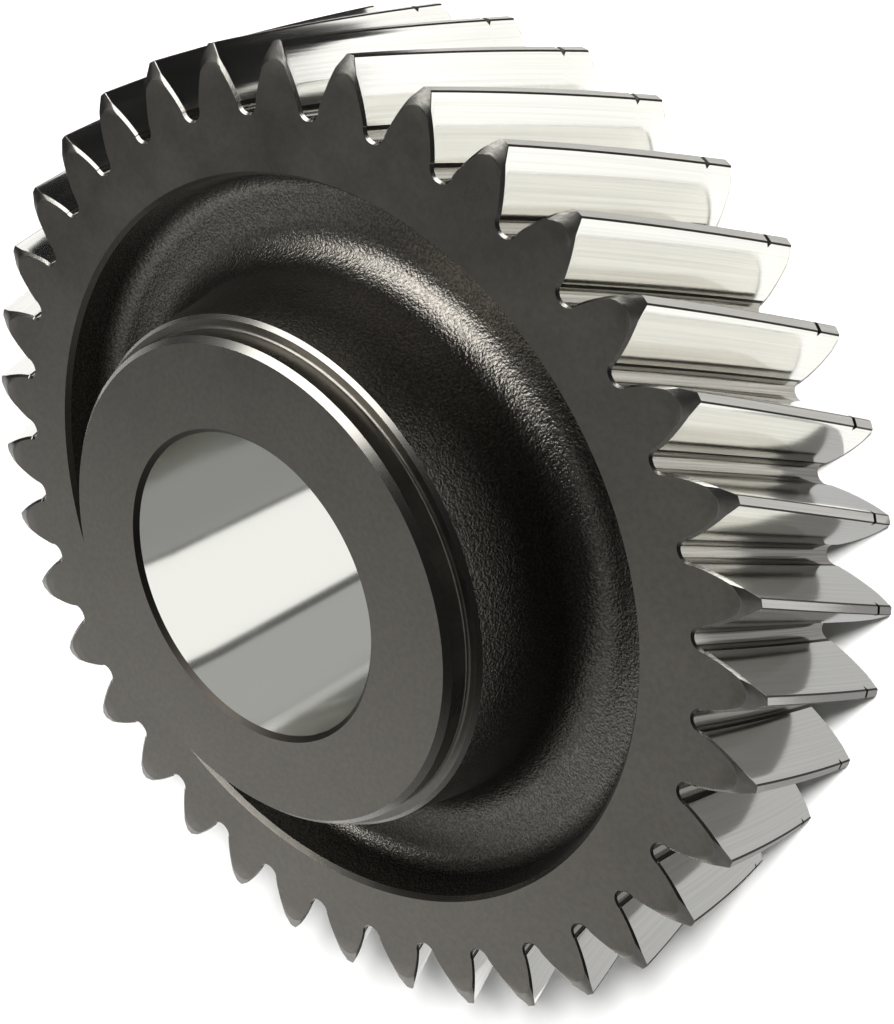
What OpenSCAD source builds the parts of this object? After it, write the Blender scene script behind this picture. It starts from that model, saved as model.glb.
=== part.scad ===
// One-piece helical transmission gear, standing on its back end face with its axis along Z.
// The blank is one turned section: rim, dished web, hub and bore. What it shares with a bar
// of helical teeth is the gear.

/* [Teeth] */

// Number of teeth
teeth = 36; // [24:1:60]
// Normal module, in mm
normal_module = 5; // [3:0.25:6]
// Helix angle at the pitch cylinder, in degrees
helix_angle = 23; // [8:0.5:30]
// Hand of the helix: 1 is right, -1 is left
helix_hand = 1; // [-1, 1]
// Normal pressure angle, in degrees
pressure_angle = 25; // [20:0.5:25]
// Height of a tooth above the pitch circle, in modules
addendum = 1; // [0.8:0.05:1.05]
// Depth of a tooth space below the pitch circle, in modules
dedendum = 1.68; // [1.25:0.01:1.75]
// Shift of the tooth profile, in modules: below 0 the teeth are thinner
profile_shift = -0.25; // [-0.35:0.05:0.3]
// Thinning of each tooth at the pitch circle, in mm
backlash = 0.1; // [0:0.02:0.3]
// Width of the toothed rim along the axis
face_width = 46; // [30:0.5:80]
// Depth of the bevel on a tooth's tip, across the radius
tip_bevel_radial = 3.4; // [0:0.1:4]
// Depth of the bevel on a tooth's tip, along the axis
tip_bevel_axial = 1.1; // [0.2:0.1:3]
// Bevel along the end edges of the flanks and roots
edge_bevel = 0.45; // [0.2:0.05:1.2]
// Distance of the witness groove from the back end
groove_height = 6.2; // [3:0.1:20]
// Depth of the witness groove turned round the teeth
groove_depth = 0.7; // [0.2:0.05:1.5]

/* [Rim] */

// Thickness of the rim under the tooth spaces, at its ends
rim_thickness = 11.05; // [8:0.05:20]
// Bevel at each pocket's mouth, across the radius
mouth_bevel_radial = 0.8; // [0.2:0.1:2]
// Bevel at each pocket's mouth, along the axis
mouth_bevel_axial = 1.2; // [0.2:0.1:3]
// Draft of the pocket's outer wall, in degrees
rim_draft = 10; // [3:0.5:14]
// Fillet from the pocket's outer wall to the web
rim_fillet = 5; // [2:0.5:8]

/* [Web] */

// Depth of the front pocket below the rim's face, beside the rim
front_pocket_depth = 11.5; // [6:0.5:16]
// Depth of the back pocket below the rim's face, beside the rim
back_pocket_depth = 14.5; // [6:0.5:16]
// How much deeper each pocket is beside the hub
dish = 1.5; // [0:0.1:3]

/* [Hub] */

// Diameter of the hub's turned neck
neck_diameter = 102.4; // [84:0.2:104]
// Height of the hub's end face above the rim's face
hub_height = 19.7; // [12:0.1:30]
// Height of the neck's shoulder above the rim's face
shoulder_height = 14.1; // [4:0.1:24]
// How far the shoulder stands out from the neck
shoulder_width = 2.8; // [1.6:0.1:4]
// Bevel on the shoulder's edge
shoulder_bevel = 0.8; // [0.2:0.1:1]
// Fillet at the foot of the neck
neck_fillet = 0.8; // [0.3:0.1:1]
// Bevel on the outer edges of the hub's end faces
hub_bevel = 1.2; // [0.4:0.1:3]
// Draft of the hub's forged flanks, in degrees
hub_draft = 10; // [3:0.5:12]
// Fillet from the hub's flank to the web
hub_fillet = 8; // [3:0.5:8]

/* [Bore] */

// Diameter of the ground bore
bore_diameter = 64; // [30:0.5:76]
// Bevel at each end of the bore
bore_bevel = 1; // [0.3:0.1:3]

/* [Hidden] */

// Points on each flank of a tooth space, and on half of its rounded root
flank_points = 7;
root_points = 4;
// Slices of a tooth space along its helix
helix_slices = 4;
// How far the toothed bar stands past the blank
overcut = 0.35;
$fn = 180;

pitch_radius = normal_module * teeth / (2 * cos(helix_angle));
transverse_angle = atan(tan(pressure_angle) / cos(helix_angle));
base_radius = pitch_radius * cos(transverse_angle);
// Thinning of each flank at the pitch circle
thinning = backlash / 2 - profile_shift * normal_module * tan(transverse_angle);
tip_radius = pitch_radius + addendum * normal_module;
root_radius = pitch_radius - dedendum * normal_module;
bore_radius = bore_diameter / 2;
neck_radius = neck_diameter / 2;
mouth_radius = root_radius - rim_thickness;
shoulder_radius = neck_radius + shoulder_width;
hub_top = face_width + hub_height;
shoulder_z = face_width + shoulder_height;
// Turning of the teeth for each mm of height
twist_per_mm = helix_hand * tan(helix_angle) / pitch_radius * 180 / PI;

function involute(a) = tan(a) * 180 / PI - a;
function flank_pressure(r) = acos(min(1, base_radius / r));
// Half the angle of a tooth space at radius r
function half_space(r) =
    90 / teeth + thinning / pitch_radius * 180 / PI
    - involute(transverse_angle) + involute(flank_pressure(r));
// Slope of the flank against the middle line of its space
function flank_slope(r) = half_space(r) + flank_pressure(r);
function flank_point(r) = r * [cos(half_space(r)), sin(half_space(r))];
// The round root that touches both flanks at radius r: its radius, and how deep it reaches
function round_radius(r) = flank_point(r)[1] / cos(flank_slope(r));
function round_bottom(r) =
    flank_point(r)[0] - round_radius(r) * (1 - sin(flank_slope(r)));
// The radius at which a round that just reaches the root circle touches the flanks
function touch_radius(low, high, steps = 24) =
    let (middle = (low + high) / 2)
    steps == 0 ? middle
    : round_bottom(middle) > root_radius ? touch_radius(low, middle, steps - 1)
    : touch_radius(middle, high, steps - 1);

start_radius = touch_radius(root_radius, pitch_radius);
root_round = round_radius(start_radius);
round_angle = 90 - flank_slope(start_radius);
outer_radius = tip_radius + overcut;
// Height of the point over the hub at which the bar closes
apex = face_width + overcut
    + 1.2 * (hub_height + overcut) / (1 - neck_radius / (root_radius - edge_bevel - overcut));

// One side of a space in its own plane, from the outside to the middle of the root, set out
// by gap towards the tooth
function flank_side(gap) = [
    for (i = [0 : flank_points - 1])
        let (
            r = outer_radius + (start_radius - outer_radius) * i / (flank_points - 1),
            s = flank_slope(r)
        )
        flank_point(r) + gap * [-sin(s), cos(s)]
];
function root_side(gap) = [
    for (i = [1 : root_points])
        let (a = round_angle * (1 - i / root_points))
        [root_radius + root_round, 0] + (root_round + gap) * [-cos(a), sin(a)]
];
function upper_side(gap) = concat(flank_side(gap), root_side(gap));
// The whole space, from its clockwise side to its counter-clockwise one
function space_outline(gap) =
    let (up = upper_side(gap), n = len(up))
    concat([for (p = up) [p[0], -p[1]]], [for (i = [n - 2 : -1 : 0]) up[i]]);
function turned(p, a, z) = [p[0] * cos(a) - p[1] * sin(a), p[0] * sin(a) + p[1] * cos(a), z];

// Heights of the bar's sections, each with how far its spaces are set out for the end bevels
sections = concat(
    [[-overcut, edge_bevel + overcut], [edge_bevel, 0]],
    [for (i = [1 : helix_slices - 1])
        [edge_bevel + (face_width - 2 * edge_bevel) * i / helix_slices, 0]],
    [[face_width - edge_bevel, 0], [face_width + overcut, edge_bevel + overcut]]
);

function unit(v) = v / norm(v);
// A fillet of radius r in the corner c, between the edges that run to a and to b: where it
// leaves the first edge, its centre, and where it meets the second
function fillet(c, a, b, r) =
    let (
        u = unit(a - c),
        v = unit(b - c),
        half = acos(u * v) / 2
    )
    [c + u * r / tan(half), c + unit(u + v) * r / sin(half), c + v * r / tan(half)];

// The bar that holds every tooth: the gear's outline, turned along the helix from section to
// section. A point on the axis closes each end, the upper one high enough to clear the hub.
module toothed_bar() {
    rows = [for (s = sections)
        let (o = space_outline(s[1]))
        [for (k = [0 : teeth - 1]) for (p = o)
            turned(p, (k + 0.5) * 360 / teeth + twist_per_mm * s[0], s[0])]
    ];
    n = len(rows[0]);
    last = len(rows) - 1;
    foot = (last + 1) * n;
    polyhedron(
        points = concat([for (row = rows) for (p = row) p], [[0, 0, -overcut], [0, 0, apex]]),
        faces = concat(
            [for (i = [0 : n - 1]) [foot, i, (i + 1) % n]],
            [for (i = [0 : n - 1]) [foot + 1, last * n + (i + 1) % n, last * n + i]],
            [for (k = [0 : last - 1]) for (i = [0 : n - 1])
                let (j = (i + 1) % n)
                each [
                    [k * n + i, (k + 1) * n + j, k * n + j],
                    [k * n + i, (k + 1) * n + i, (k + 1) * n + j]
                ]]
        )
    );
}

// Half section of the forged and turned blank, radius across and height up
module blank_section() {
    back_rim_floor = back_pocket_depth;
    back_hub_floor = back_pocket_depth + dish;
    front_rim_floor = face_width - front_pocket_depth;
    front_hub_floor = front_rim_floor - dish;
    wall_radius = mouth_radius - mouth_bevel_radial;

    back_hub_foot = [shoulder_radius + (back_hub_floor - hub_bevel) * tan(hub_draft), back_hub_floor];
    back_rim_foot = [
        wall_radius - (back_rim_floor - mouth_bevel_axial) * tan(rim_draft),
        back_rim_floor
    ];
    front_rim_foot = [
        wall_radius - (front_pocket_depth - mouth_bevel_axial) * tan(rim_draft),
        front_rim_floor
    ];
    flank_top = [shoulder_radius, shoulder_z - shoulder_bevel];
    front_hub_foot = [
        shoulder_radius + (flank_top[1] - front_hub_floor) * tan(hub_draft),
        front_hub_floor
    ];
    back_hub_edge = [shoulder_radius, hub_bevel];
    back_wall_edge = [wall_radius, mouth_bevel_axial];
    front_wall_edge = [wall_radius, face_width - mouth_bevel_axial];
    neck_foot = [neck_radius, shoulder_z];
    neck_top = [neck_radius, hub_top - hub_bevel];
    shoulder_edge = [shoulder_radius - shoulder_bevel, shoulder_z];

    rounds = [
        [fillet(back_hub_foot, back_hub_edge, back_rim_foot, hub_fillet), hub_fillet],
        [fillet(back_rim_foot, back_hub_foot, back_wall_edge, rim_fillet), rim_fillet],
        [fillet(front_rim_foot, front_wall_edge, front_hub_foot, rim_fillet), rim_fillet],
        [fillet(front_hub_foot, front_rim_foot, flank_top, hub_fillet), hub_fillet],
        [fillet(neck_foot, shoulder_edge, neck_top, neck_fillet), neck_fillet]
    ];
    difference() {
        polygon(concat(
            [
                [bore_radius, bore_bevel],
                [bore_radius + bore_bevel, 0],
                [shoulder_radius - hub_bevel, 0],
                back_hub_edge
            ],
            rounds[0][0],
            rounds[1][0],
            [
                back_wall_edge,
                [mouth_radius, 0],
                [tip_radius - tip_bevel_radial, 0],
                [tip_radius, tip_bevel_axial],
                [tip_radius, groove_height - groove_depth],
                [tip_radius - groove_depth, groove_height],
                [tip_radius, groove_height + groove_depth],
                [tip_radius, face_width - tip_bevel_axial],
                [tip_radius - tip_bevel_radial, face_width],
                [mouth_radius, face_width],
                front_wall_edge
            ],
            rounds[2][0],
            rounds[3][0],
            [flank_top, shoulder_edge],
            rounds[4][0],
            [
                neck_top,
                [neck_radius - hub_bevel, hub_top],
                [bore_radius + bore_bevel, hub_top],
                [bore_radius, hub_top - bore_bevel]
            ]
        ));
        for (f = rounds) translate(f[0][1]) circle(r = f[1]);
    }
}

module blank() {
    rotate_extrude() blank_section();
}

module helical_gear() {
    color("DimGray") intersection() {
        blank();
        toothed_bar();
    }
}

helical_gear();
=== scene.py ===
"""A forged helical transmission gear with ground teeth, and the pale studio it lies in."""

import math

import bpy
from mathutils import Matrix, Vector


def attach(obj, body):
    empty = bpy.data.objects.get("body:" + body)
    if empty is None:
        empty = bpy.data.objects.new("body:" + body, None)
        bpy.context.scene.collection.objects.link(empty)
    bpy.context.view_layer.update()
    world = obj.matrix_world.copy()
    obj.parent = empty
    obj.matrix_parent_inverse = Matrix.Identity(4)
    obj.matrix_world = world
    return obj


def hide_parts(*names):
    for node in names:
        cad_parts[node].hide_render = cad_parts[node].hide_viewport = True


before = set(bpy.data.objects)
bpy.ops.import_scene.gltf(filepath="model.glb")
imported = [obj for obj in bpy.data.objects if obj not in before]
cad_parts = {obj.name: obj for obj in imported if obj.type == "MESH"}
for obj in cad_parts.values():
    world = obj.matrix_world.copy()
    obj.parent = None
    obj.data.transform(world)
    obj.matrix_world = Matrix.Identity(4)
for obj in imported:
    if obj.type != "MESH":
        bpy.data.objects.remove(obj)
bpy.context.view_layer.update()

bl_info = {
    "name": "Helical transmission gear",
    "version": (1, 0, 0),
    "blender": (4, 5, 0),
    "location": "View3D > Sidebar > Gear",
    "description": "Models a forged gear with ground helical teeth, and lights it in a pale studio",
    "category": "Add Mesh",
}

MM = 0.001
PIECE = "helical_gear_finished"
NODE = "helical_gear"
# Points closer than this are one point
NEAR = 0.01 * MM
# Steps in which the blank's section is spun through one pitch
SPIN_STEPS = 8
# Edges that turn by less than this, in degrees, are shaded smooth
SMOOTH_BELOW = 18
# How far each tooth's streaks are shifted from the last one's, across and along the tooth
NEXT_STREAKS = (37 * MM, 71.3 * MM)


def linear(code):
    """The linear colour of an sRGB hex value."""
    parts = [int(code[i : i + 2], 16) / 255 for i in (1, 3, 5)]
    return tuple(c / 12.92 if c <= 0.04045 else ((c + 0.055) / 1.055) ** 2.4 for c in parts)


def length(name, description, millimetres):
    """A size in millimetres as a Blender length."""
    return bpy.props.FloatProperty(
        name=name, description=description, default=millimetres * MM, subtype="DISTANCE", unit="LENGTH"
    )


def rotation(name, description, degrees):
    """An angle in degrees as a Blender rotation."""
    return bpy.props.FloatProperty(
        name=name, description=description, default=math.radians(degrees), subtype="ANGLE", unit="ROTATION"
    )


def number(name, description, default, **limits):
    """A plain number, with its limits and its unit."""
    return bpy.props.FloatProperty(name=name, description=description, default=default, **limits)


def colour(name, description, code):
    """A finish's colour, from its sRGB hex value."""
    return bpy.props.FloatVectorProperty(
        name=name, description=description, default=linear(code), subtype="COLOR", size=3, min=0, max=1
    )


class ToothSizes(bpy.types.PropertyGroup):
    """Sizes of the helical teeth"""

    teeth: bpy.props.IntProperty(name="Teeth", description="Number of teeth", default=36, min=12)
    normal_module: length("Normal module", "Module square to the teeth", 5)
    helix_angle: rotation("Helix angle", "Angle of the teeth to the axis", 23)
    pressure_angle: rotation("Pressure angle", "Pressure angle square to the teeth", 25)
    addendum: number("Addendum", "Modules above the pitch circle", 1, min=0)
    dedendum: number("Dedendum", "Modules below the pitch circle", 1.68, min=0)
    profile_shift: number("Profile shift", "In modules: below 0 the teeth are thinner", -0.25)
    backlash: length("Backlash", "Thinning of each tooth at the pitch circle", 0.1)
    face_width: length("Face width", "Width of the toothed rim", 46)
    tip_bevel_radial: length("Tip bevel, radial", "Bevel on the ends of the tips, across the radius", 3.4)
    tip_bevel_axial: length("Tip bevel, axial", "Bevel on the ends of the tips, along the axis", 1.1)
    tip_arch: length("Tip arch", "Radius of the arch in which a tip's end bevel meets the face", 3)
    edge_bevel: length("Edge bevel", "Bevel along the end edges of flanks and roots", 0.45)
    edge_break: length("Edge break", "Small bevel along the edges of the tip lands", 0.3)
    grinding_step: length("Grinding step", "How far the root lies behind the ground flank", 0.12)
    grinding_foot: length("Grinding foot", "Height of the step above the root's round", 0.8)
    groove_height: length("Groove height", "Witness groove from the back end", 6.2)
    groove_depth: length("Groove depth", "Depth of the witness groove", 0.7)
    groove_width: length("Groove width", "Width of the witness groove", 0.9)


class BlankSizes(bpy.types.PropertyGroup):
    """Sizes of the forged and turned blank"""

    rim_thickness: length("Rim", "Thickness of the rim under the tooth spaces", 11.05)
    mouth_bevel_radial: length("Mouth bevel, radial", "Bevel at the pockets' mouths, across the radius", 0.8)
    mouth_bevel_axial: length("Mouth bevel, axial", "Bevel at the pockets' mouths, along the axis", 1.2)
    rim_fillet: length("Rim fillet", "Fillet from the pocket's wall to the web", 5)
    hub_fillet: length("Hub fillet", "Fillet from the hub to the web", 8)
    front_pocket: length("Front pocket", "Depth of the front pocket beside the rim", 11.5)
    back_pocket: length("Back pocket", "Depth of the back pocket beside the rim", 14.5)
    dish: length("Dish", "How much deeper the pockets are beside the hub", 1.5)
    draft: rotation("Draft", "Draft of the forged walls", 10)
    neck_radius: length("Neck", "Radius of the hub's turned neck", 51.2)
    neck_fillet: length("Neck fillet", "Fillet at the foot of the neck", 0.8)
    hub_height: length("Hub height", "Hub's end above the rim's face", 19.7)
    shoulder_height: length("Shoulder height", "Neck's shoulder above the rim's face", 14.1)
    shoulder_width: length("Shoulder width", "How far the shoulder stands out from the neck", 2.8)
    shoulder_bevel: length("Shoulder bevel", "Bevel on the shoulder's edge", 0.8)
    hub_bevel: length("Hub bevel", "Bevel on the hub's end edges", 1.2)
    bore_radius: length("Bore", "Radius of the ground bore", 32)
    bore_bevel: length("Bore bevel", "Bevel at each end of the bore", 1)
    forging_waves: length("Forging waves", "Height of the waves in the forged skin", 0.2)


class Finishes(bpy.types.PropertyGroup):
    """Colours of the gear's surfaces"""

    ground: colour("Ground flank", "Case-hardened steel as ground", "#E7E6E1")
    bore: colour("Ground bore", "Case-hardened steel as ground and honed", "#FBFBF4")
    turned: colour("Turned face", "Turned before hardening, with its dark film", "#66635D")
    tip: colour("Tip land", "Turned tips of the teeth", "#A6A4A0")
    bevel: colour("Bevels", "Cut after hardening, so bright", "#777570")
    root: colour("Hobbed root", "Hobbed, not ground", "#B6B3AB")
    # The edge colour is painted shade at the flanks' feet and a painted dark reflection along the tip lands'
    # broken edges
    edge: colour("Unground edges and painted shade", "Dark steel the grinding wheel did not reach, painted darker as shade and dark reflection", "#34312D")
    forged: colour("Forged skin", "Scale and oil on the forging", "#605D58")


class Studio(bpy.types.PropertyGroup):
    """The studio's floor, light and lens"""

    floor: colour("Floor", "Paper the gear lies on", "#F4F4F2")
    room: number("Room light", "Strength of the dim room", 0.04, min=0)
    key: number("Key light", "Power of the key light", 18, min=0, unit="POWER")
    lens: number("Lens", "Focal length in millimetres", 62.465, min=1, unit="CAMERA")


class ToothForm:
    """The outline of one tooth, from the middle of one space to the middle of the next.
    A point in a space's frame has the space's middle along X; a tooth's own frame has its tip there."""

    # Faces across half a tip land, its broken edge, a flank, the flank's foot and half of the
    # root's round
    LAND, BREAK, FLANK, FOOT, ROUND = 4, 1, 10, 2, 7
    # Rows across an end bevel, and between the groove and the front end's bevel
    BEVEL_ROWS, PLAIN_ROWS = 4, 9
    # How much wider the edge bevel is beside the tip
    CORNER = 0.25
    # The share of the foot's height in which the grinding step drops
    STEP = 0.2
    # Halvings in the searches for a radius
    SEARCHES = 40

    def __init__(self, sizes):
        self.sizes = sizes
        self.half_pitch = math.pi / sizes.teeth
        self.pitch_radius = sizes.normal_module * sizes.teeth / (2 * math.cos(sizes.helix_angle))
        self.pressure = math.atan(math.tan(sizes.pressure_angle) / math.cos(sizes.helix_angle))
        self.base_radius = self.pitch_radius * math.cos(self.pressure)
        self.tip_radius = self.pitch_radius + sizes.addendum * sizes.normal_module
        self.root_radius = self.pitch_radius - sizes.dedendum * sizes.normal_module
        self.twist = math.tan(sizes.helix_angle) / self.pitch_radius
        shift = sizes.profile_shift * sizes.normal_module * math.tan(self.pressure)
        self.thinning = (sizes.backlash / 2 - shift) / self.pitch_radius
        self.start, self.round = self.root_round()

    def half_space(self, r):
        """Half the angle of a tooth space at radius r."""
        roll = math.acos(min(1, self.base_radius / r))
        return self.half_pitch / 2 + self.thinning - involute(self.pressure) + involute(roll)

    def slope(self, r):
        """Slope of the flank against the middle line of its space."""
        return self.half_space(r) + math.acos(min(1, self.base_radius / r))

    def root_round(self):
        """Where the rounded root touches the flanks, and its radius."""
        low, high = self.root_radius, self.pitch_radius
        for _ in range(self.SEARCHES):
            middle = (low + high) / 2
            reach = middle * math.sin(self.half_space(middle)) / math.cos(self.slope(middle))
            bottom = middle * math.cos(self.half_space(middle)) - reach * (1 - math.sin(self.slope(middle)))
            if bottom > self.root_radius:
                high = middle
            else:
                low = middle
        return middle, reach

    def flank(self, r, gap):
        """The flank's point at radius r, set out by gap towards the tooth, in the space's frame."""
        h, s = self.half_space(r), self.slope(r)
        return Vector((r * math.cos(h) - gap * math.sin(s), r * math.sin(h) + gap * math.cos(s)))

    def polar(self, point):
        """The radius of a point in the space's frame, and its angle from the tooth's middle."""
        return point.length, self.half_pitch - math.atan2(point.y, point.x)

    def sag(self, r, angle, arch):
        """How far a tip that is arched by a share lies lower at an angle from its middle."""
        return arch * (r * math.sin(angle)) ** 2 / (2 * self.sizes.tip_arch)

    def flank_reach(self, top, gap, arch):
        """The radius on the flank whose point, set out by gap, lies on a tip of radius top."""
        low, high = self.pitch_radius - self.sizes.normal_module / 2, self.tip_radius + 10 * MM
        for _ in range(self.SEARCHES):
            middle = (low + high) / 2
            r, angle = self.polar(self.flank(middle, gap))
            if r + self.sag(r, angle, arch) > top:
                high = middle
            else:
                low = middle
        return middle

    def half_outline(self, top, gap, arch):
        """Radius and angle from the tooth's middle to the space's middle, along a section whose
        tips are at radius top, whose edges are bevelled by gap and whose tips are arched."""
        s = self.sizes
        first = self.flank_reach(top - s.edge_break, gap * (1 + self.CORNER), arch)
        foot = self.start + s.grinding_foot
        space = []
        for i in range(self.FLANK + 1):
            share = i / self.FLANK
            wider = 1 + self.CORNER * (1 - share) ** 2
            space.append(self.flank(first + (foot - first) * share, gap * wider))
        for share in (self.STEP, 1):
            space.append(self.flank(foot + (self.start - foot) * share, gap + s.grinding_step))
        arc = math.pi / 2 - self.slope(self.start)
        for i in range(1, self.ROUND + 1):
            a = arc * (1 - i / self.ROUND)
            reach = self.round + gap + s.grinding_step * (1 - i / self.ROUND)
            space.append(Vector((self.root_radius + self.round - reach * math.cos(a), reach * math.sin(a))))
        points = [self.polar(p) for p in space]
        land = [(points[0][1] - s.edge_break / top) * i / self.LAND for i in range(self.LAND + 1)]
        return [(top - self.sag(top, a, arch), a) for a in land] + points

    def outline(self, top, gap, arch):
        """The whole section, anticlockwise, as points."""
        half = self.half_outline(top, gap, arch)
        whole = [(r, -a) for r, a in reversed(half)] + half[1:]
        return [Vector((r * math.cos(a), r * math.sin(a))) for r, a in whole]

    def rows(self):
        """Heights of the sections, each with its tip radius, its bevel and its tip's arch."""
        s = self.sizes
        width, groove, half_groove = s.face_width, s.groove_depth, s.groove_width / 2
        ends = [s.edge_bevel * i / self.BEVEL_ROWS for i in range(self.BEVEL_ROWS + 1)] + [s.tip_bevel_axial]
        marks = [s.groove_height - half_groove, s.groove_height, s.groove_height + half_groove]
        step = (width - s.tip_bevel_axial - marks[2]) / self.PLAIN_ROWS
        plain = [marks[2] + step * i for i in range(1, self.PLAIN_ROWS)]
        heights = ends + marks + plain + [width - h for h in reversed(ends)]
        rows = []
        for z in heights:
            end = min(z, width - z)
            arch = max(0, 1 - end / s.tip_bevel_axial)
            top = self.tip_radius - s.tip_bevel_radial * arch
            if abs(z - s.groove_height) < NEAR:
                top -= groove
            rows.append((z, top, max(0, s.edge_bevel - end), arch))
        return rows


def involute(a):
    """The involute function of a pressure angle."""
    return math.tan(a) - a


def fillet(corner, before, after, radius, steps):
    """Points of a fillet in the corner between the edges from before and to after."""
    corner, before, after = Vector(corner), Vector(before), Vector(after)
    u, v = (before - corner).normalized(), (after - corner).normalized()
    half = u.angle(v) / 2
    centre = corner + (u + v).normalized() * radius / math.sin(half)
    start = corner + u * radius / math.tan(half) - centre
    end = corner + v * radius / math.tan(half) - centre
    turn = start.angle_signed(end)
    return [tuple(centre + Matrix.Rotation(-turn * i / steps, 2) @ start) for i in range(steps + 1)]


def divided(a, b, steps):
    """Points after a, up to and with b, that divide the line between them."""
    a, b = Vector(a), Vector(b)
    return [tuple(a + (b - a) * i / steps) for i in range(1, steps + 1)]


def blank_section(blank, form):
    """The blank's section from the front pocket's mouth over the web, hub and bore to the back
    pocket's mouth, as runs of (zone, points)."""
    width = form.sizes.face_width
    mouth = form.root_radius - blank.rim_thickness
    wall = mouth - blank.mouth_bevel_radial
    shoulder = blank.neck_radius + blank.shoulder_width
    lean = math.tan(blank.draft)
    top, ledge = width + blank.hub_height, width + blank.shoulder_height
    bore, bevel = blank.bore_radius, blank.bore_bevel

    front_edge = (wall, width - blank.mouth_bevel_axial)
    front_floor = width - blank.front_pocket
    front_rim = (wall - (front_edge[1] - front_floor) * lean, front_floor)
    flank_top = (shoulder, ledge - blank.shoulder_bevel)
    front_hub = (shoulder + (flank_top[1] - front_floor + blank.dish) * lean, front_floor - blank.dish)
    front_round = fillet(front_rim, front_edge, front_hub, blank.rim_fillet, 9)
    front_sweep = fillet(front_hub, front_rim, flank_top, blank.hub_fillet, 11)

    ledge_edge, neck_foot = (shoulder - blank.shoulder_bevel, ledge), (blank.neck_radius, ledge)
    neck_top = (blank.neck_radius, top - blank.hub_bevel)
    neck_round = fillet(neck_foot, ledge_edge, neck_top, blank.neck_fillet, 6)

    back_edge = (wall, blank.mouth_bevel_axial)
    back_rim = (wall - (blank.back_pocket - blank.mouth_bevel_axial) * lean, blank.back_pocket)
    back_top = (shoulder, blank.hub_bevel)
    back_floor = blank.back_pocket + blank.dish
    back_hub = (shoulder + (back_floor - blank.hub_bevel) * lean, back_floor)
    back_sweep = fillet(back_hub, back_top, back_rim, blank.hub_fillet, 11)
    back_round = fillet(back_rim, back_hub, back_edge, blank.rim_fillet, 9)

    return [
        ("turned", [(mouth, width), front_edge]),
        ("forged", divided(front_edge, front_round[0], 4) + front_round[1:]),
        ("forged", divided(front_round[-1], front_sweep[0], 6) + front_sweep[1:]),
        ("forged", divided(front_sweep[-1], flank_top, 10)),
        ("bevel", [ledge_edge]),
        ("turned", neck_round + [neck_top]),
        ("bevel", [(blank.neck_radius - blank.hub_bevel, top)]),
        ("turned", divided((blank.neck_radius - blank.hub_bevel, top), (bore + bevel, top), 2)),
        ("edge", [(bore, top - bevel)]),
        ("bore", divided((bore, top - bevel), (bore, bevel), 8)),
        ("edge", [(bore + bevel, 0)]),
        ("turned", divided((bore + bevel, 0), (shoulder - blank.hub_bevel, 0), 2)),
        ("bevel", [back_top]),
        ("forged", divided(back_top, back_sweep[0], 3) + back_sweep[1:]),
        ("forged", divided(back_sweep[-1], back_round[0], 6) + back_round[1:]),
        ("forged", divided(back_round[-1], back_edge, 4)),
        ("turned", [(mouth, 0)]),
    ]


# Finishes, in the order of the gear's material slots
ZONES = ("ground", "tip", "bevel", "root", "edge", "face", "turned", "forged", "bore")


def add(tree, kind, inputs=None, **settings):
    """Adds a node, gives it its settings, and sets or links its inputs."""
    node = tree.nodes.new(kind)
    for name, value in settings.items():
        setattr(node, name, value)
    for name, value in (inputs or {}).items():
        socket = node.inputs[name]
        if isinstance(value, bpy.types.NodeSocket):
            tree.links.new(value, socket)
        else:
            socket.default_value = value
    return node


def begin_material(name):
    """An empty node material, and the tree to add to."""
    material = bpy.data.materials.new(name)
    material.use_nodes = True
    material.node_tree.nodes.clear()
    return material, material.node_tree


def opaque(rgb, share=1.0):
    """A colour for a socket, darkened to a share."""
    return (rgb[0] * share, rgb[1] * share, rgb[2] * share, 1)


def ground_flank(rgb):
    """Case-hardened gear steel, profile ground: bright and sharp in its reflections, with fine
    lines along each tooth where the wheel passed. Real lines are 0.05 mm apart; these are drawn
    0.45 mm apart and 70 mm long, to show, over clouds of 4 by 33 mm in the polish."""
    material, tree = begin_material("ground_gear_steel")
    place = add(tree, "ShaderNodeTexCoord")
    along = add(tree, "ShaderNodeMapping", {"Vector": place.outputs["UV"], "Scale": (2200, 14, 1)})
    lines = add(tree, "ShaderNodeTexNoise", {"Vector": along.outputs["Vector"], "Scale": 1.0, "Detail": 4.0})
    broad = add(tree, "ShaderNodeMapping", {"Vector": place.outputs["UV"], "Scale": (260, 30, 1)})
    cloud = add(tree, "ShaderNodeTexNoise", {"Vector": broad.outputs["Vector"], "Scale": 1.0, "Detail": 2.0})
    streak = add(
        tree,
        "ShaderNodeMapRange",
        {"Value": lines.outputs["Fac"], "From Min": 0.3, "From Max": 0.62, "To Min": 0.0, "To Max": 1.0},
    )
    tone = add(
        tree,
        "ShaderNodeMix",
        {"Factor": streak.outputs["Result"], "A": opaque(rgb, 0.93), "B": opaque(rgb, 1.04)},
        data_type="RGBA",
    )
    dull = add(
        tree,
        "ShaderNodeMapRange",
        {"Value": cloud.outputs["Fac"], "From Min": 0.3, "From Max": 0.7, "To Min": 0.1, "To Max": 0.15},
    )
    bump = add(
        tree, "ShaderNodeBump", {"Height": lines.outputs["Fac"], "Strength": 0.2, "Distance": 0.03 * MM}
    )
    shader = add(
        tree,
        "ShaderNodeBsdfPrincipled",
        {
            "Base Color": tone.outputs["Result"],
            "Metallic": 1.0,
            "Roughness": dull.outputs["Result"],
            "Normal": bump.outputs["Normal"],
        },
    )
    add(tree, "ShaderNodeOutputMaterial", {"Surface": shader.outputs["BSDF"]})
    return material


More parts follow.
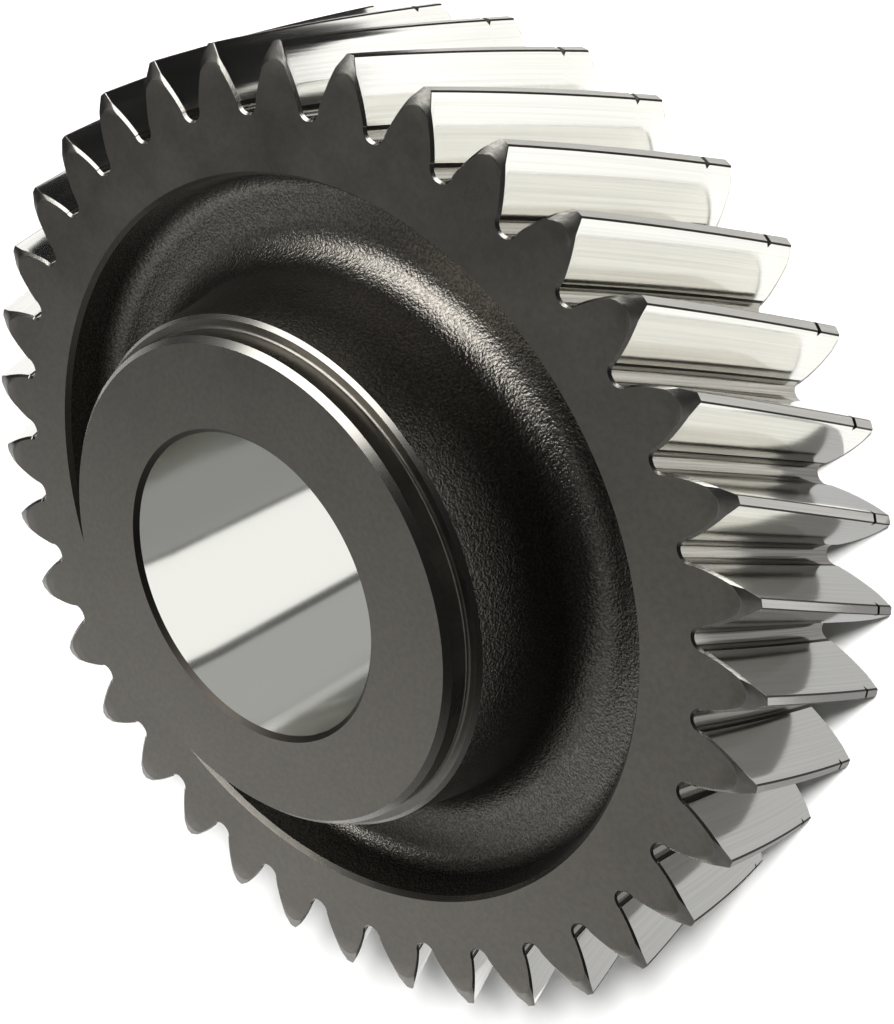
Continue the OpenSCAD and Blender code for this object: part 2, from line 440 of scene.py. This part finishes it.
def turned_face(rgb, name, roughness):
    """Steel turned and then hardened: a dark, cloudy, satin film with a fine speckle over faint
    rings. Real rings are 0.2 mm apart; these are drawn 0.6 mm apart, to show. The clouds are
    18 mm across and the speckle 1 mm."""
    material, tree = begin_material(name)
    place = add(tree, "ShaderNodeTexCoord")
    at = place.outputs["Object"]
    flat = add(tree, "ShaderNodeVectorMath", {0: at, 1: (1, 1, 0)}, operation="MULTIPLY")
    reach = add(tree, "ShaderNodeVectorMath", {0: flat.outputs["Vector"]}, operation="LENGTH")
    spread = add(tree, "ShaderNodeMath", {0: reach.outputs["Value"], 1: 1700}, operation="MULTIPLY")
    rings = add(
        tree, "ShaderNodeTexNoise", {"W": spread.outputs["Value"], "Scale": 1.0}, noise_dimensions="1D"
    )
    film = add(tree, "ShaderNodeTexNoise", {"Vector": at, "Scale": 55.0, "Detail": 6.0, "Roughness": 0.6})
    grit = add(tree, "ShaderNodeTexNoise", {"Vector": at, "Scale": 900.0, "Detail": 3.0})
    tone = add(
        tree,
        "ShaderNodeMix",
        {"Factor": film.outputs["Fac"], "A": opaque(rgb, 0.88), "B": opaque(rgb, 1.12)},
        data_type="RGBA",
    )
    speck = add(
        tree,
        "ShaderNodeMapRange",
        {"Value": grit.outputs["Fac"], "From Min": 0.35, "From Max": 0.65, "To Min": 0.93, "To Max": 1.05},
    )
    marked = add(
        tree,
        "ShaderNodeVectorMath",
        {0: tone.outputs["Result"], "Scale": speck.outputs["Result"]},
        operation="SCALE",
    )
    dull = add(
        tree,
        "ShaderNodeMapRange",
        {
            "Value": film.outputs["Fac"],
            "From Min": 0.3,
            "From Max": 0.7,
            "To Min": roughness - 0.05,
            "To Max": roughness + 0.06,
        },
    )
    height = add(
        tree,
        "ShaderNodeMix",
        {"Factor": 0.5, "A": rings.outputs["Fac"], "B": grit.outputs["Fac"]},
        data_type="FLOAT",
    )
    bump = add(
        tree, "ShaderNodeBump", {"Height": height.outputs["Result"], "Strength": 0.12, "Distance": 0.05 * MM}
    )
    shader = add(
        tree,
        "ShaderNodeBsdfPrincipled",
        {
            "Base Color": marked.outputs["Vector"],
            "Metallic": 1.0,
            "Roughness": dull.outputs["Result"],
            "Normal": bump.outputs["Normal"],
        },
    )
    add(tree, "ShaderNodeOutputMaterial", {"Surface": shader.outputs["BSDF"]})
    return material


def streaked_steel(rgb, name, roughness, across, along, darkest=0.7):
    """Cut steel that was not ground: satin, with streaks of lighter and darker metal, spaced in
    metres across and along the tooth, the darkest of them at a share of the colour."""
    material, tree = begin_material(name)
    place = add(tree, "ShaderNodeTexCoord")
    stretch = add(
        tree, "ShaderNodeMapping", {"Vector": place.outputs["UV"], "Scale": (1 / across, 1 / along, 1)}
    )
    streaks = add(
        tree, "ShaderNodeTexNoise", {"Vector": stretch.outputs["Vector"], "Scale": 1.0, "Detail": 3.0}
    )
    tone = add(
        tree,
        "ShaderNodeMix",
        {"Factor": streaks.outputs["Fac"], "A": opaque(rgb, darkest), "B": opaque(rgb, 1.25)},
        data_type="RGBA",
    )
    bump = add(
        tree, "ShaderNodeBump", {"Height": streaks.outputs["Fac"], "Strength": 0.35, "Distance": 0.1 * MM}
    )
    shader = add(
        tree,
        "ShaderNodeBsdfPrincipled",
        {
            "Base Color": tone.outputs["Result"],
            "Metallic": 1.0,
            "Roughness": roughness,
            "Normal": bump.outputs["Normal"],
        },
    )
    add(tree, "ShaderNodeOutputMaterial", {"Surface": shader.outputs["BSDF"]})
    return material


def forged_skin(rgb):
    """Forging scale under a film of oil: nearly black and satin, with the orange-peel grain that
    shot blasting leaves, 0.5 mm across over dents of 1.2 mm; the grain's tops are painted lighter, a painted
    highlight."""
    material, tree = begin_material("forging_scale")
    place = add(tree, "ShaderNodeTexCoord")
    at = place.outputs["Object"]
    peel = add(tree, "ShaderNodeTexNoise", {"Vector": at, "Scale": 2000.0, "Detail": 2.0, "Roughness": 0.5})
    dents = add(tree, "ShaderNodeTexNoise", {"Vector": at, "Scale": 850.0, "Detail": 2.0})
    height = add(
        tree,
        "ShaderNodeMix",
        {"Factor": 0.45, "A": peel.outputs["Fac"], "B": dents.outputs["Fac"]},
        data_type="FLOAT",
    )
    bump = add(
        tree, "ShaderNodeBump", {"Height": height.outputs["Result"], "Strength": 1.0, "Distance": 0.27 * MM}
    )
    # The grain's tops are painted lighter than its hollows: a painted highlight
    painted_glint = add(
        tree,
        "ShaderNodeMapRange",
        {"Value": peel.outputs["Fac"], "From Min": 0.4, "From Max": 0.65, "To Min": 0.0, "To Max": 1.0},
    )
    tone = add(
        tree,
        "ShaderNodeMix",
        {"Factor": painted_glint.outputs["Result"], "A": opaque(rgb, 0.75), "B": opaque(rgb, 1.4)},
        data_type="RGBA",
    )
    shader = add(
        tree,
        "ShaderNodeBsdfPrincipled",
        {
            "Base Color": tone.outputs["Result"],
            "Metallic": 1.0,
            "Roughness": 0.29,
            "Normal": bump.outputs["Normal"],
        },
    )
    add(tree, "ShaderNodeOutputMaterial", {"Surface": shader.outputs["BSDF"]})
    return material


def honed_bore(rgb):
    """Bore ground and honed round its axis: bright and nearly a mirror, so it draws what stands
    round it as bands along its axis. Its honing rings are drawn 0.4 mm apart."""
    material, tree = begin_material("ground_bore_steel")
    place = add(tree, "ShaderNodeTexCoord")
    rings = add(tree, "ShaderNodeMapping", {"Vector": place.outputs["Object"], "Scale": (25, 25, 2500)})
    lines = add(tree, "ShaderNodeTexNoise", {"Vector": rings.outputs["Vector"], "Scale": 1.0, "Detail": 3.0})
    bump = add(
        tree, "ShaderNodeBump", {"Height": lines.outputs["Fac"], "Strength": 0.12, "Distance": 0.05 * MM}
    )
    shader = add(
        tree,
        "ShaderNodeBsdfPrincipled",
        {
            "Base Color": opaque(rgb),
            "Metallic": 1.0,
            "Roughness": 0.16,
            "Normal": bump.outputs["Normal"],
        },
    )
    add(tree, "ShaderNodeOutputMaterial", {"Surface": shader.outputs["BSDF"]})
    return material


def gear_materials(finish):
    """The gear's materials in the order of ZONES."""
    along_tooth = {"across": 0.5 * MM, "along": 30 * MM}
    return [
        ground_flank(finish.ground),
        # Turned and hardened: plain grey with soft streaks
        streaked_steel(finish.tip, "turned_tip_steel", 0.25, darkest=0.85, **along_tooth),
        # Chamfered: small bright spots with no direction
        streaked_steel(finish.bevel, "chamfered_steel", 0.24, across=0.6 * MM, along=0.6 * MM),
        # Hobbed: glossy, with strong dark lines where the cutter passed
        streaked_steel(finish.root, "hobbed_root_steel", 0.16, darkest=0.3, **along_tooth),
        # Left by the grinding wheel: a dull dark line, painted darker as shade at the flank's foot; along
        # the tip lands' broken edges it is a painted dark reflection
        streaked_steel(finish.edge, "unground_edge_painted_shade_steel", 0.45, **along_tooth),
        turned_face(finish.turned, "hardened_turned_steel", 0.3),
        # The hub was turned finer than the rim
        turned_face(finish.turned, "hardened_hub_steel", 0.29),
        forged_skin(finish.forged),
        honed_bore(finish.bore),
    ]


def edit_mode(select="VERT"):
    """Turns to edit mode, where points, edges or faces are selected."""
    bpy.ops.object.mode_set(mode="EDIT")
    bpy.ops.mesh.select_mode(type=select)


def object_mode():
    """Turns back to object mode."""
    bpy.ops.object.mode_set(mode="OBJECT")


def start_object(name, materials):
    """Names the primitive that was just added and gives it the gear's materials."""
    gear = bpy.context.active_object
    gear.name = gear.data.name = name
    for material in materials:
        gear.data.materials.append(material)
    return gear


def tooth_zone(form, rows, i, j):
    """The finish of the face in column i from a space's middle and in row j from the back end."""
    (low, low_top, _, low_arch), (high, high_top, _, high_arch) = rows[j], rows[j + 1]
    end = min(low, form.sizes.face_width - high)
    side = form.ROUND + form.FOOT + form.FLANK
    if i >= side:
        if end < form.sizes.tip_bevel_axial - NEAR:
            return "bevel"
        grooved = low_arch == high_arch == 0 and min(low_top, high_top) < form.tip_radius - NEAR
        # The tip lands' broken edges take the dark edge finish as a painted dark reflection, and the
        # groove's rows take it too
        return "edge" if i < side + form.BREAK or grooved else "tip"
    if end < form.sizes.edge_bevel - NEAR:
        return "bevel"
    if i < form.ROUND:
        return "root"
    # The flank's foot takes the dark edge finish: the unground step, painted darker as shade
    return "edge" if i < form.ROUND + form.FOOT else "ground"


def lay_tooth(form, materials):
    """Lays a grid over one straight tooth: its columns follow the outline, its rows the width."""
    rows = form.rows()
    outlines = [form.outline(*row[1:]) for row in rows]
    columns = len(outlines[0]) - 1
    bpy.ops.object.select_all(action="DESELECT")
    bpy.ops.mesh.primitive_grid_add(x_subdivisions=columns, y_subdivisions=len(rows) - 1, size=1)
    tooth = start_object("tooth", materials)
    mesh = tooth.data
    middle = outlines[len(outlines) // 2]
    travel = [0.0]
    for a, b in zip(middle, middle[1:]):
        travel.append(travel[-1] + (b - a).length)
    cell = {}
    for v in mesh.vertices:
        cell[v.index] = (round((v.co.x + 0.5) * columns), round((v.co.y + 0.5) * (len(rows) - 1)))
    for v in mesh.vertices:
        i, j = cell[v.index]
        v.co = (*outlines[j][i], rows[j][0])
    for loop in mesh.loops:
        i, j = cell[loop.vertex_index]
        mesh.uv_layers.active.data[loop.index].uv = (travel[i], rows[j][0])
    for face in mesh.polygons:
        i = min(cell[v][0] for v in face.vertices)
        j = min(cell[v][1] for v in face.vertices)
        face.material_index = ZONES.index(tooth_zone(form, rows, min(i, columns - 1 - i), j))
    return tooth


def spin_section(form, blank, materials):
    """Draws the blank's section as a chain of points and spins it through one pitch."""
    points, zones = [], []
    for zone, run in blank_section(blank, form):
        for point in run:
            if points and (Vector(point) - Vector(points[-1])).length < NEAR:
                continue
            if points:
                zones.append(zone)
            points.append(point)
    bpy.ops.object.select_all(action="DESELECT")
    bpy.ops.mesh.primitive_circle_add(vertices=len(points), radius=1)
    sector = start_object("sector", materials)
    order = sorted(sector.data.vertices, key=lambda v: v.index)
    a = -form.half_pitch
    for v, (r, z) in zip(order, points):
        v.co = (r * math.cos(a), r * math.sin(a), z)
    edit_mode("EDGE")
    bpy.ops.mesh.select_all(action="DESELECT")
    object_mode()
    last = len(points) - 1
    for edge in sector.data.edges:
        edge.select = set(edge.vertices) == {0, last}
    edit_mode("EDGE")
    bpy.ops.mesh.delete(type="EDGE")
    bpy.ops.mesh.select_all(action="SELECT")
    bpy.ops.mesh.spin(steps=SPIN_STEPS, angle=2 * form.half_pitch, center=(0, 0, 0), axis=(0, 0, 1))
    bpy.ops.mesh.select_all(action="DESELECT")
    object_mode()
    mesh = sector.data
    middles = [(Vector(a) + Vector(b)) / 2 for a, b in zip(points, points[1:])]
    for face in mesh.polygons:
        corners = [mesh.vertices[v].co for v in face.vertices]
        place = sum((Vector((math.hypot(p.x, p.y), p.z)) for p in corners), Vector((0, 0))) / len(corners)
        nearest = min(range(last), key=lambda k: (middles[k] - place).length)
        face.material_index = ZONES.index(zones[nearest])
    return sector


def close_ends(gear, form, blank):
    """Fills each end face of the pitch between the tooth's outline and the pocket's mouth."""
    mouth = form.root_radius - blank.rim_thickness
    for z in (0, form.sizes.face_width):
        edit_mode("EDGE")
        bpy.ops.mesh.select_all(action="DESELECT")
        object_mode()
        mesh = gear.data
        for edge in mesh.edges:
            ends = [mesh.vertices[v].co for v in edge.vertices]
            edge.select = all(abs(p.z - z) < NEAR and math.hypot(p.x, p.y) > mouth - NEAR for p in ends)
        edit_mode("EDGE")
        gear.active_material_index = ZONES.index("face")
        bpy.ops.mesh.edge_face_add()
        bpy.ops.mesh.select_mode(type="FACE")
        bpy.ops.object.material_slot_assign()
        object_mode()


def apply_modifier(gear, name, kind, **settings):
    """Adds a modifier with its settings to the gear and applies it."""
    modifier = gear.modifiers.new(name, kind)
    for key, value in settings.items():
        setattr(modifier, key, value)
    bpy.context.view_layer.objects.active = gear
    bpy.ops.object.modifier_apply(modifier=modifier.name)


def index_teeth(gear, form):
    """Copies the pitch round the axis, as a dividing head would, and welds the copies."""
    bpy.ops.object.select_all(action="DESELECT")
    bpy.ops.object.empty_add(type="PLAIN_AXES", rotation=(0, 0, 2 * form.half_pitch))
    head = bpy.context.active_object
    bpy.context.view_layer.update()
    apply_modifier(
        gear,
        "index",
        "ARRAY",
        fit_type="FIXED_COUNT",
        count=form.sizes.teeth,
        use_relative_offset=False,
        use_object_offset=True,
        offset_object=head,
        use_merge_vertices=True,
        use_merge_vertices_cap=True,
        merge_threshold=NEAR,
        offset_u=NEXT_STREAKS[0],
        offset_v=NEXT_STREAKS[1],
    )
    bpy.data.objects.remove(head)


def forge_waves(gear, blank):
    """Gives the forged skin its slow waves, which fade out at the turned edges."""
    mesh = gear.data
    forged, others = set(), set()
    for face in mesh.polygons:
        (forged if ZONES[face.material_index] == "forged" else others).update(face.vertices)
    group = gear.vertex_groups.new(name="forged")
    group.add(sorted(forged - others), 1.0, "REPLACE")
    waves = bpy.data.textures.new("forging waves", "CLOUDS")
    waves.noise_scale = 11 * MM
    waves.noise_depth = 1
    apply_modifier(
        gear,
        "waves",
        "DISPLACE",
        texture=waves,
        texture_coords="LOCAL",
        direction="NORMAL",
        strength=blank.forging_waves,
        mid_level=0.5,
        vertex_group="forged",
    )
    bpy.data.textures.remove(waves)
    gear.vertex_groups.clear()


class GEAR_OT_cut_gear(bpy.types.Operator):
    """Models one pitch of the gear, twists it to the helix, copies it round and finishes its surfaces"""

    bl_idname = "gear.cut_gear"
    bl_label = "Cut gear"
    bl_options = {"REGISTER", "UNDO"}

    def execute(self, context):
        settings = context.scene.gear_settings
        form = ToothForm(settings.tooth)
        materials = gear_materials(settings.finish)
        tooth = lay_tooth(form, materials)
        sector = spin_section(form, settings.blank, materials)
        bpy.ops.object.select_all(action="DESELECT")
        tooth.select_set(True)
        sector.select_set(True)
        context.view_layer.objects.active = tooth
        bpy.ops.object.join()
        gear = context.active_object
        gear.name = gear.data.name = PIECE
        close_ends(gear, form, settings.blank)
        height = settings.tooth.face_width + settings.blank.hub_height
        apply_modifier(
            gear,
            "helix",
            "SIMPLE_DEFORM",
            deform_method="TWIST",
            deform_axis="Z",
            angle=form.twist * height,
        )
        index_teeth(gear, form)
        context.view_layer.objects.active = gear
        gear.select_set(True)
        edit_mode()
        bpy.ops.mesh.select_all(action="SELECT")
        bpy.ops.mesh.remove_doubles(threshold=NEAR)
        bpy.ops.mesh.normals_make_consistent(inside=False)
        object_mode()
        forge_waves(gear, settings.blank)
        bpy.ops.object.select_all(action="DESELECT")
        gear.select_set(True)
        bpy.ops.object.shade_smooth_by_angle(angle=math.radians(SMOOTH_BELOW))
        gear.select_set(False)
        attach(gear, "root")
        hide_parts(NODE)
        return {"FINISHED"}


class GEAR_OT_set_stage(bpy.types.Operator):
    """Lays the floor, lights the room and places the camera"""

    bl_idname = "gear.set_stage"
    bl_label = "Set stage"
    bl_options = {"REGISTER", "UNDO"}

    def execute(self, context):
        studio = context.scene.gear_settings.studio
        lay_floor(studio)
        light_room(studio)
        hang_lamps(studio)
        place_camera(studio)
        return {"FINISHED"}


# The floor's width in metres, and how far it lies under the gear so that the two never share a
# plane
FLOOR_SIZE = 12
FLOOR_DROP = 0.2 * MM
# How white the steel mirrors the floor, and the distances in metres from the gear's axis between
# which the paper turns to plain white
MIRRORED_WHITE = 0.5
PAPER_TO, WHITE_FROM = 0.3, 0.7


def lay_floor(studio):
    """A wide sheet of paper that shows white, and keeps the gear's soft shadow."""
    bpy.ops.object.select_all(action="DESELECT")
    bpy.ops.mesh.primitive_plane_add(size=FLOOR_SIZE, location=(0, 0, -FLOOR_DROP))
    floor = bpy.context.active_object
    floor.name = "studio_floor"
    material, tree = begin_material("studio_paper")
    rays = add(tree, "ShaderNodeLightPath")
    mirrored = add(
        tree, "ShaderNodeMath", {0: rays.outputs["Is Glossy Ray"], 1: MIRRORED_WHITE}, operation="MULTIPLY"
    )
    place = add(tree, "ShaderNodeTexCoord")
    reach = add(tree, "ShaderNodeVectorMath", {0: place.outputs["Object"]}, operation="LENGTH")
    far = add(
        tree,
        "ShaderNodeMapRange",
        {
            "Value": reach.outputs["Value"],
            "From Min": PAPER_TO,
            "From Max": WHITE_FROM,
            "To Min": 0.0,
            "To Max": 1.0,
        },
        interpolation_type="SMOOTHSTEP",
    )
    share = add(
        tree, "ShaderNodeMath", {0: mirrored.outputs["Value"], 1: far.outputs["Result"]}, operation="MAXIMUM"
    )
    paper = add(tree, "ShaderNodeBsdfDiffuse", {"Color": opaque(studio.floor)})
    glow = add(tree, "ShaderNodeEmission", {"Color": (1, 1, 1, 1), "Strength": 1.0})
    mixed = add(
        tree,
        "ShaderNodeMixShader",
        {0: share.outputs["Value"], 1: paper.outputs["BSDF"], 2: glow.outputs["Emission"]},
    )
    add(tree, "ShaderNodeOutputMaterial", {"Surface": mixed.outputs["Shader"]})
    floor.data.materials.append(material)


# Lighter sides of the dark room, as (azimuth and elevation in degrees, cosine where the light
# starts, cosine where it is full, strength)
ROOM_SIDES = (
    (185, 6, 0.77, 0.88, 0.8),
    (215, 40, 0.66, 0.95, 0.5),
    (75, 25, 0.7, 0.95, 0.3),
    (135, 44, 0.95, 0.99, 0.45),
)


def towards(azimuth, elevation):
    """The direction at an azimuth and an elevation, both in degrees."""
    azimuth, elevation = math.radians(azimuth), math.radians(elevation)
    flat = math.cos(elevation)
    return Vector((flat * math.cos(azimuth), flat * math.sin(azimuth), math.sin(elevation)))


def light_room(studio):
    """A dim room with lighter sides, white where the camera sees it."""
    world = bpy.data.worlds.new("studio_room")
    bpy.context.scene.world = world
    world.use_nodes = True
    tree = world.node_tree
    tree.nodes.clear()
    place = add(tree, "ShaderNodeTexCoord")
    strength = studio.room
    for azimuth, elevation, start, full, level in ROOM_SIDES:
        facing = add(
            tree,
            "ShaderNodeVectorMath",
            {0: place.outputs["Generated"], 1: tuple(towards(azimuth, elevation))},
            operation="DOT_PRODUCT",
        )
        side = add(
            tree,
            "ShaderNodeMapRange",
            {
                "Value": facing.outputs["Value"],
                "From Min": start,
                "From Max": full,
                "To Min": 0.0,
                "To Max": level,
            },
            interpolation_type="SMOOTHSTEP",
        )
        strength = add(tree, "ShaderNodeMath", {0: strength, 1: side.outputs["Result"]}).outputs["Value"]
    rays = add(tree, "ShaderNodeLightPath")
    shown = add(
        tree,
        "ShaderNodeMix",
        {"Factor": rays.outputs["Is Camera Ray"], "A": strength, "B": 1.0},
        data_type="FLOAT",
    )
    light = add(tree, "ShaderNodeBackground", {"Color": (1, 1, 1, 1), "Strength": shown.outputs["Result"]})
    add(tree, "ShaderNodeOutputWorld", {"Surface": light.outputs["Background"]})


# Lamps, as (name, azimuth and elevation in degrees, distance, size, share of the key light's
# power, what it lights)
LAMPS = (
    ("soft_key", 64, 42, 1.0, 1.0, 1.0, "steel"),
    ("paper_light", 17, 38, 2.5, 0.45, 7.0, "paper"),
)
# Cards that stand upright and only show in the steel, as (name, azimuth in degrees, distance,
# width and height in metres, brightness): black ones round the gear, and three in the bore with a
# gap at each side of the white one
CARDS = (
    ("black_card", 30, 0.23, 0.1, 0.09, 0.01),
    ("black_card", 53, 0.23, 0.1, 0.09, 0.01),
    ("black_card", 76, 0.23, 0.1, 0.09, 0.01),
    ("black_card", 95, 0.24, 0.06, 0.07, 0.01),
    ("bore_card", 140, 0.026, 0.012, 0.062, 0.25),
    ("bore_card", 171, 0.025, 0.014, 0.062, 0.9),
    ("bore_card", 203, 0.026, 0.012, 0.062, 0.35),
)
# Round cards that lie level and only show in the steel, as (name, middle, radius and height in
# metres, brightness in one reflection, brightness in a reflection of a reflection)
DISCS = (
    ("dark_card_behind_the_gear", (0.074, 0.16), 0.066, 0.0001, 0.04, 0.04),
    # A grey card that the steel sees in place of the paper under the teeth: painted shade
    ("painted_shade_card_below_the_teeth", (0.006, -0.056), 0.084, 0.0001, 0.52, 0.22),
    ("dark_card_under_the_bore", (0, 0), 0.0318, 0.0003, 0.06, 0.06),
)
DISC_SIDES = 96


def glow_material(name, once, twice):
    """A card's light, which may be duller for the steel that only sees it in other steel."""
    material, tree = begin_material(name)
    rays = add(tree, "ShaderNodeLightPath")
    strength = add(
        tree,
        "ShaderNodeMapRange",
        {
            "Value": rays.outputs["Glossy Depth"],
            "From Min": 1.0,
            "From Max": 2.0,
            "To Min": once,
            "To Max": twice,
        },
    )
    glow = add(tree, "ShaderNodeEmission", {"Color": (1, 1, 1, 1), "Strength": strength.outputs["Result"]})
    add(tree, "ShaderNodeOutputMaterial", {"Surface": glow.outputs["Emission"]})
    return material


def stage_card(name, once, twice):
    """Makes the primitive that was just added a card that only reflections see."""
    card = bpy.context.active_object
    card.name = name
    card.data.materials.append(glow_material(name, once, twice))
    card.visible_camera = card.visible_diffuse = card.visible_shadow = False
    return card


def hang_lamps(studio):
    """A broad soft lamp for the steel, a smaller one for the paper, and the cards."""
    for name, azimuth, elevation, distance, size, share, lit in LAMPS:
        side = towards(azimuth, elevation)
        bpy.ops.object.light_add(type="AREA", location=side * distance)
        lamp = bpy.context.active_object
        lamp.name = lamp.data.name = name
        lamp.data.shape = "DISK"
        lamp.data.size = size
        lamp.data.energy = studio.key * share
        lamp.rotation_euler = (-side).to_track_quat("-Z", "Y").to_euler()
        lamp.visible_diffuse = lit == "paper"
        lamp.visible_glossy = lit == "steel"
    for name, azimuth, distance, width, height, level in CARDS:
        side = towards(azimuth, 0)
        bpy.ops.mesh.primitive_plane_add(
            size=1,
            location=(side.x * distance, side.y * distance, height / 2),
            rotation=(math.pi / 2, 0, math.radians(azimuth + 90)),
        )
        stage_card(f"{name}_{azimuth}", level, level).scale = (width, height, 1)
    for name, middle, radius, height, once, twice in DISCS:
        bpy.ops.mesh.primitive_circle_add(
            vertices=DISC_SIDES, radius=radius, fill_type="NGON", location=(*middle, height)
        )
        stage_card(name, once, twice)


# The camera's place in metres, its axes and its shift, in the gear's frame
CAMERA_AT = (0.2775, -0.02592, 0.27691)
CAMERA_RIGHT = (0.52118, -0.51198, -0.68283)
CAMERA_UP = (0.40876, 0.85209, -0.32689)
CAMERA_LOOK = (-0.74919, 0.10875, -0.65337)
CAMERA_SHIFT = (0.12882, -0.03623)
# In millimetres, and in metres
SENSOR_WIDTH = 36
NEAREST_SHOWN = 0.01


def place_camera(studio):
    """The camera close above the front face, rolled so that the gear stands as in the picture."""
    bpy.ops.object.camera_add(location=CAMERA_AT)
    camera = bpy.context.active_object
    camera.name = camera.data.name = "studio_camera"
    axes = Matrix((CAMERA_RIGHT, CAMERA_UP, [-c for c in CAMERA_LOOK])).transposed()
    camera.rotation_euler = axes.to_euler()
    camera.data.lens = studio.lens
    camera.data.sensor_width = SENSOR_WIDTH
    camera.data.shift_x, camera.data.shift_y = CAMERA_SHIFT
    camera.data.clip_start = NEAREST_SHOWN
    bpy.context.scene.camera = camera


class GearSettings(bpy.types.PropertyGroup):
    """All of the gear's settings"""

    tooth: bpy.props.PointerProperty(type=ToothSizes, name="Teeth", description="Sizes of the teeth")
    blank: bpy.props.PointerProperty(type=BlankSizes, name="Blank", description="Sizes of the blank")
    finish: bpy.props.PointerProperty(type=Finishes, name="Finishes", description="Colours of the surfaces")
    studio: bpy.props.PointerProperty(type=Studio, name="Studio", description="Floor, light and lens")


class GEAR_PT_panel(bpy.types.Panel):
    """The gear's sizes and colours, with the steps that make it"""

    bl_label = "Helical gear"
    bl_idname = "GEAR_PT_panel"
    bl_space_type = "VIEW_3D"
    bl_region_type = "UI"
    bl_category = "Gear"

    def draw(self, context):
        settings = context.scene.gear_settings
        for title in ("tooth", "blank", "finish", "studio"):
            group = getattr(settings, title)
            box = self.layout.box()
            box.label(text=title.capitalize())
            for name in group.__annotations__:
                box.prop(group, name)
        self.layout.operator(GEAR_OT_cut_gear.bl_idname)
        self.layout.operator(GEAR_OT_set_stage.bl_idname)


CLASSES = (
    ToothSizes,
    BlankSizes,
    Finishes,
    Studio,
    GearSettings,
    GEAR_OT_cut_gear,
    GEAR_OT_set_stage,
    GEAR_PT_panel,
)


def register():
    """Registers the classes and hangs the settings on the scene."""
    for cls in CLASSES:
        bpy.utils.register_class(cls)
    bpy.types.Scene.gear_settings = bpy.props.PointerProperty(type=GearSettings)


def unregister():
    """Takes the settings and the classes away again."""
    del bpy.types.Scene.gear_settings
    for cls in reversed(CLASSES):
        bpy.utils.unregister_class(cls)


def main():
    """Makes the gear and its stage."""
    register()
    bpy.ops.gear.cut_gear()
    bpy.ops.gear.set_stage()
    bpy.context.scene.view_settings.view_transform = "Standard"


if __name__ == "__main__":
    main()
